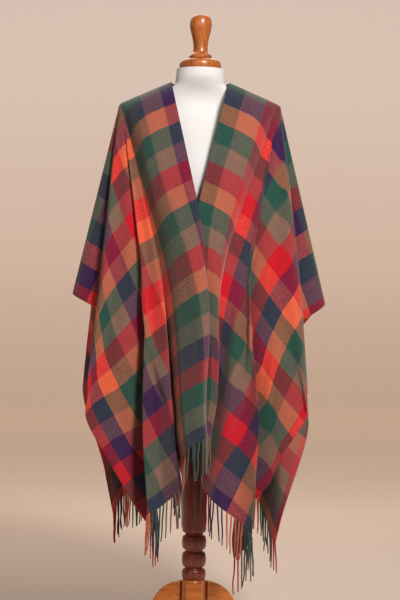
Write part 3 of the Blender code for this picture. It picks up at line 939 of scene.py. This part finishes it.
def turnPiece(name, profile, material, node):
    # profile is a list of (radius, height), spun round the stand's axis
    bm = bmesh.new()
    points = [bm.verts.new((radius, 0.0, height)) for radius, height in profile]
    edges = [bm.edges.new(pair) for pair in zip(points, points[1:])]
    bmesh.ops.spin(
        bm, geom=points + edges, cent=(0.0, 0.0, 0.0), axis=(0.0, 0.0, 1.0), angle=math.radians(360.0),
        steps=wood["steps"], use_merge=True)
    bmesh.ops.remove_doubles(bm, verts=bm.verts, dist=0.00005)
    bmesh.ops.recalc_face_normals(bm, faces=bm.faces)
    bmesh.ops.translate(bm, verts=bm.verts, vec=axis)
    obj = addObject(name, bm, material)
    obj.data.set_sharp_from_angle(angle=math.radians(40.0))
    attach(obj, "root")
    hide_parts(node)


def makeNeck():
    pale = woodMaterial("pale_wood", wood["pale"])
    low = wood["capBottom"]
    cap = [(0.0, low), (0.0497, low)]
    cap += eased([
        (0.0508, low + 0.0008), (0.0525, low + 0.006), (0.0521, low + 0.014), (0.0490, low + 0.0195)])
    cap += eased([(0.0440, low + 0.0215), (0.0395, low + 0.0235), (0.0310, low + 0.0258)])
    cap += [(0.0, low + 0.0262)]
    turnPiece("neck_ring", cap, pale, "neck_cap")
    low += 0.0265
    knob = [(0.0, low), (0.0268, low)]
    knob += eased([
        (0.0275, low + 0.0006), (0.0285, low + 0.006), (0.0250, low + 0.011), (0.0200, low + 0.015),
        (0.0180, low + 0.024), (0.0184, low + 0.036), (0.0205, low + 0.050), (0.0245, low + 0.066),
        (0.0272, low + 0.079), (0.0276, low + 0.088), (0.0262, low + 0.097), (0.0220, low + 0.1045),
        (0.0150, low + 0.1090), (0.0070, wood["finialTop"] - 0.0003)])
    knob += [(0.0, wood["finialTop"])]
    turnPiece("neck_knob", knob, pale, "finial")
    print("neck and knob")


def makePost():
    radius, top = wood["postRadius"], wood["postTop"]
    foot, groove = wood["beadFoot"], wood["groove"]
    profile = [(0.0, 0.1905)]
    profile += bead(0.1905, 0.2170, radius, foot) + [(groove, 0.2195)]
    profile += bead(0.2220, 0.2590, radius * 1.01, foot) + [(groove, 0.2620)]
    profile += bead(0.2655, 0.3000, radius * 1.02, foot) + [(groove, 0.3040)]
    profile += eased([(0.0245, 0.3062), (0.0285, 0.3095), (radius, 0.3135), (radius, 0.3200)])
    profile += [(radius, top - 0.002), (radius - 0.002, top), (0.0, top)]
    turnPiece("turned_post", profile, woodMaterial("mahogany", wood["mahogany"]), "post")
    top = wood["hubTop"]
    hub = [(0.0, 0.0640), (0.0230, 0.0640)]
    hub += eased([(0.0255, 0.0655), (0.0290, 0.0690), (0.0300, 0.0735)])
    hub += [(0.0300, 0.1850)]
    hub += eased([(0.0298, 0.1868), (0.0285, 0.1892), (0.0258, top)]) + [(0.0, top)]
    turnPiece("hub", hub, woodMaterial("hub_wood", wood["base"]), "base_hub")
    print("post and hub")


def makeLegs():
    material = woodMaterial("leg_wood", wood["base"], uvGrain=True)
    thick, face = wood["legThick"], wood["hubFace"]
    (out, up), radius, steps = wood["kneeCentre"], wood["kneeRadius"], wood["kneeSteps"]
    first, last = wood["kneeTurns"]
    knee = []
    for step in range(steps + 1):
        turn = math.radians(first + (last - first) * step / steps)
        knee.append((out + radius * math.cos(turn), up + radius * math.sin(turn)))
    shin = eased([
        (0.132, 0.082), (0.156, 0.062), (0.188, 0.047), (0.222, 0.042), (0.255, 0.036), (0.259, 0.020)])
    sole = [(0.2555, 0.0), (0.205, 0.0)]
    under = eased([
        (0.186, 0.008), (0.150, 0.021), (0.118, 0.040), (0.092, 0.060), (0.074, 0.0715)])
    outline = [(face, 0.1843)] + knee + shin + sole + under + [(face, 0.072)]
    for number in range(3):
        bm = bmesh.new()
        layer = bm.loops.layers.uv.new("grain")
        corners = [bm.verts.new((radius, -thick / 2, height)) for radius, height in outline]
        made = bmesh.ops.extrude_face_region(bm, geom=[bm.faces.new(corners)])
        side = [item for item in made["geom"] if isinstance(item, bmesh.types.BMVert)]
        bmesh.ops.translate(bm, verts=side, vec=(0.0, thick, 0.0))
        bmesh.ops.recalc_face_normals(bm, faces=bm.faces)
        bm.normal_update()
        # round all edges along the two sides but not where the leg meets the hub
        rims = [
            edge for edge in bm.edges
            if abs(edge.verts[0].co.y - edge.verts[1].co.y) < 0.001
            and min(vertex.co.x for vertex in edge.verts) > face + 0.0006]
        bmesh.ops.bevel(
            bm, geom=rims, offset=wood["legEdge"], offset_type="OFFSET", affect="EDGES", segments=3,
            profile=0.5, material=-1)
        for vertex in bm.verts:
            for loop in vertex.link_loops:
                loop[layer].uv = (vertex.co.x, vertex.co.z)
        turn = Matrix.Rotation(math.radians(-90.0 + 120.0 * number), 4, "Z")
        bmesh.ops.transform(bm, matrix=Matrix.Translation(axis) @ turn, verts=bm.verts)
        obj = addObject("leg_board_" + str(number + 1), bm, material)
        obj.data.set_sharp_from_angle(angle=math.radians(40.0))
        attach(obj, "root")
        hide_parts("leg_" + str(number + 1))
    print("legs")


makeCamera()
makeLamps()
makeFloor()
makeForm()
makeNeck()
makePost()
makeLegs()
makeCloth()
